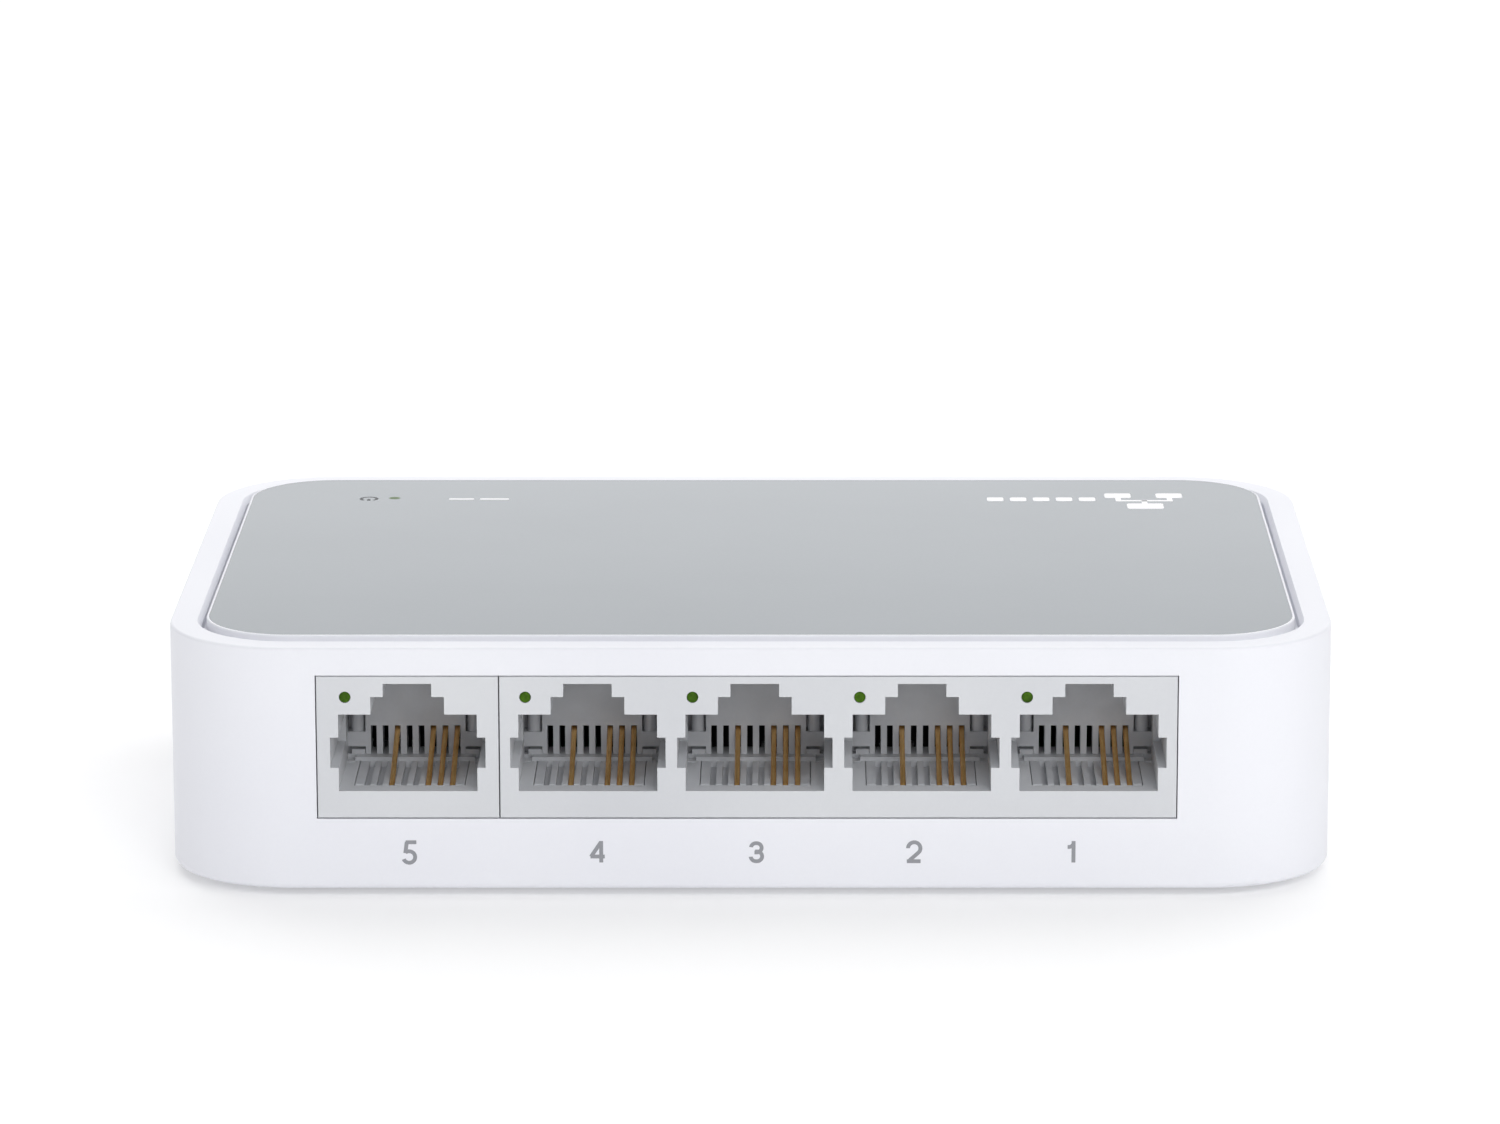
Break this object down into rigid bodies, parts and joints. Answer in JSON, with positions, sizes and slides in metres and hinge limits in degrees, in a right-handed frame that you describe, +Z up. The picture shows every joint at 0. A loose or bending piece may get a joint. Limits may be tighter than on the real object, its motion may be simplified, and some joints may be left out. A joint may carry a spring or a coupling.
{
  "type": "desktop network switch",
  "caption": "Small flat desktop network switch with a row of eight-position sockets on one long side, an inset silver top panel and a barrel supply inlet.",
  "frame": {"origin": "centre of the footprint, on the surface the feet stand on", "axes": "+Z up; the socket row looks along -Y; +X is to the right for someone looking at the sockets"},
  "size_m": [0.0984, 0.0668, 0.022],
  "materials": {
    "casing_white": "satin moulded ABS",
    "overlay_silver": "silver-grey printed film",
    "socket_grey": "moulded PBT",
    "carrier_grey": "moulded PBT",
    "contact_gold": "gold-flashed bronze wire",
    "light_pipe_green": "tinted clear acrylic",
    "led_body": "clear resin",
    "board_green": "solder mask on glass epoxy",
    "screw_steel": "zinc plated",
    "chip_black": "moulded epoxy",
    "lead_tin": "tinned",
    "crystal_can": "drawn can",
    "capacitor_can": "drawn can",
    "inductor_ferrite": "pressed ferrite",
    "resistor_black": "glazed film on alumina",
    "ceramic_tan": "fired ceramic",
    "inlet_black": "moulded PBT",
    "inlet_nickel": "nickel plated",
    "foot_rubber": "moulded",
    "label_film": "printed polyester film, blank"
  },
  "bodies": {
    "case": {"lower_housing": "casing_white", "top_cover": "casing_white", "top_overlay": "overlay_silver", "socket_housing_single": "socket_grey", "socket_housing_quad": "socket_grey", "contact_carrier_1": "carrier_grey", "contact_carrier_2": "carrier_grey", "contact_carrier_3": "carrier_grey", "contact_carrier_4": "carrier_grey", "contact_carrier_5": "carrier_grey", "contact_tails_1": "contact_gold", "contact_tails_2": "contact_gold", "contact_tails_3": "contact_gold", "contact_tails_4": "contact_gold", "contact_tails_5": "contact_gold", "port_light_pipe_1": "light_pipe_green", "port_light_pipe_2": "light_pipe_green", "port_light_pipe_3": "light_pipe_green", "port_light_pipe_4": "light_pipe_green", "port_light_pipe_5": "light_pipe_green", "power_light_pipe": "light_pipe_green", "port_led_1": "led_body", "port_led_2": "led_body", "port_led_3": "led_body", "port_led_4": "led_body", "port_led_5": "led_body", "power_led": "led_body", "circuit_board": "board_green", "board_screws": "screw_steel", "switch_chip": "chip_black", "voltage_regulator": "chip_black", "quad_transformer": "chip_black", "single_transformer": "chip_black", "switch_chip_leads": "lead_tin", "transformer_leads": "lead_tin", "regulator_leads": "lead_tin", "crystal": "crystal_can", "input_capacitor": "capacitor_can", "output_capacitor": "capacitor_can", "power_inductor": "inductor_ferrite", "chip_resistors": "resistor_black", "chip_capacitors": "ceramic_tan", "inlet_housing": "inlet_black", "inlet_pin": "inlet_nickel", "inlet_sleeve_terminal": "inlet_nickel", "foot_front_left": "foot_rubber", "foot_front_right": "foot_rubber", "foot_back_left": "foot_rubber", "foot_back_right": "foot_rubber", "rating_label": "label_film"},
    "port_1_contacts": {"contact_springs_1": "contact_gold"},
    "port_2_contacts": {"contact_springs_2": "contact_gold"},
    "port_3_contacts": {"contact_springs_3": "contact_gold"},
    "port_4_contacts": {"contact_springs_4": "contact_gold"},
    "port_5_contacts": {"contact_springs_5": "contact_gold"},
    "inlet_leaf": {"inlet_spring": "inlet_nickel"}
  },
  "joints": [
    {"name": "port_1_contact_flex", "type": "hinge", "parent": "case", "child": "port_1_contacts", "pos_m": [0.02836, -0.03055, 0.00847], "axis": [1, 0, 0], "range_deg": [-10, 0], "stiffness_Nm_per_rad": 0.05, "springref_deg": 8.59},
    {"name": "port_2_contact_flex", "type": "hinge", "parent": "case", "child": "port_2_contacts", "pos_m": [0.01439, -0.03055, 0.00847], "axis": [1, 0, 0], "range_deg": [-10, 0], "stiffness_Nm_per_rad": 0.05, "springref_deg": 8.59},
    {"name": "port_3_contact_flex", "type": "hinge", "parent": "case", "child": "port_3_contacts", "pos_m": [0.00042, -0.03055, 0.00847], "axis": [1, 0, 0], "range_deg": [-10, 0], "stiffness_Nm_per_rad": 0.05, "springref_deg": 8.59},
    {"name": "port_4_contact_flex", "type": "hinge", "parent": "case", "child": "port_4_contacts", "pos_m": [-0.01355, -0.03055, 0.00847], "axis": [1, 0, 0], "range_deg": [-10, 0], "stiffness_Nm_per_rad": 0.05, "springref_deg": 8.59},
    {"name": "port_5_contact_flex", "type": "hinge", "parent": "case", "child": "port_5_contacts", "pos_m": [-0.02862, -0.03055, 0.00847], "axis": [1, 0, 0], "range_deg": [-10, 0], "stiffness_Nm_per_rad": 0.05, "springref_deg": 8.59},
    {"name": "inlet_leaf_flex", "type": "hinge", "parent": "case", "child": "inlet_leaf", "pos_m": [-0.03765, 0.014, 0.00955], "axis": [0, 1, 0], "range_deg": [-6, 0], "stiffness_Nm_per_rad": 0.05, "springref_deg": 8.59}
  ]
}
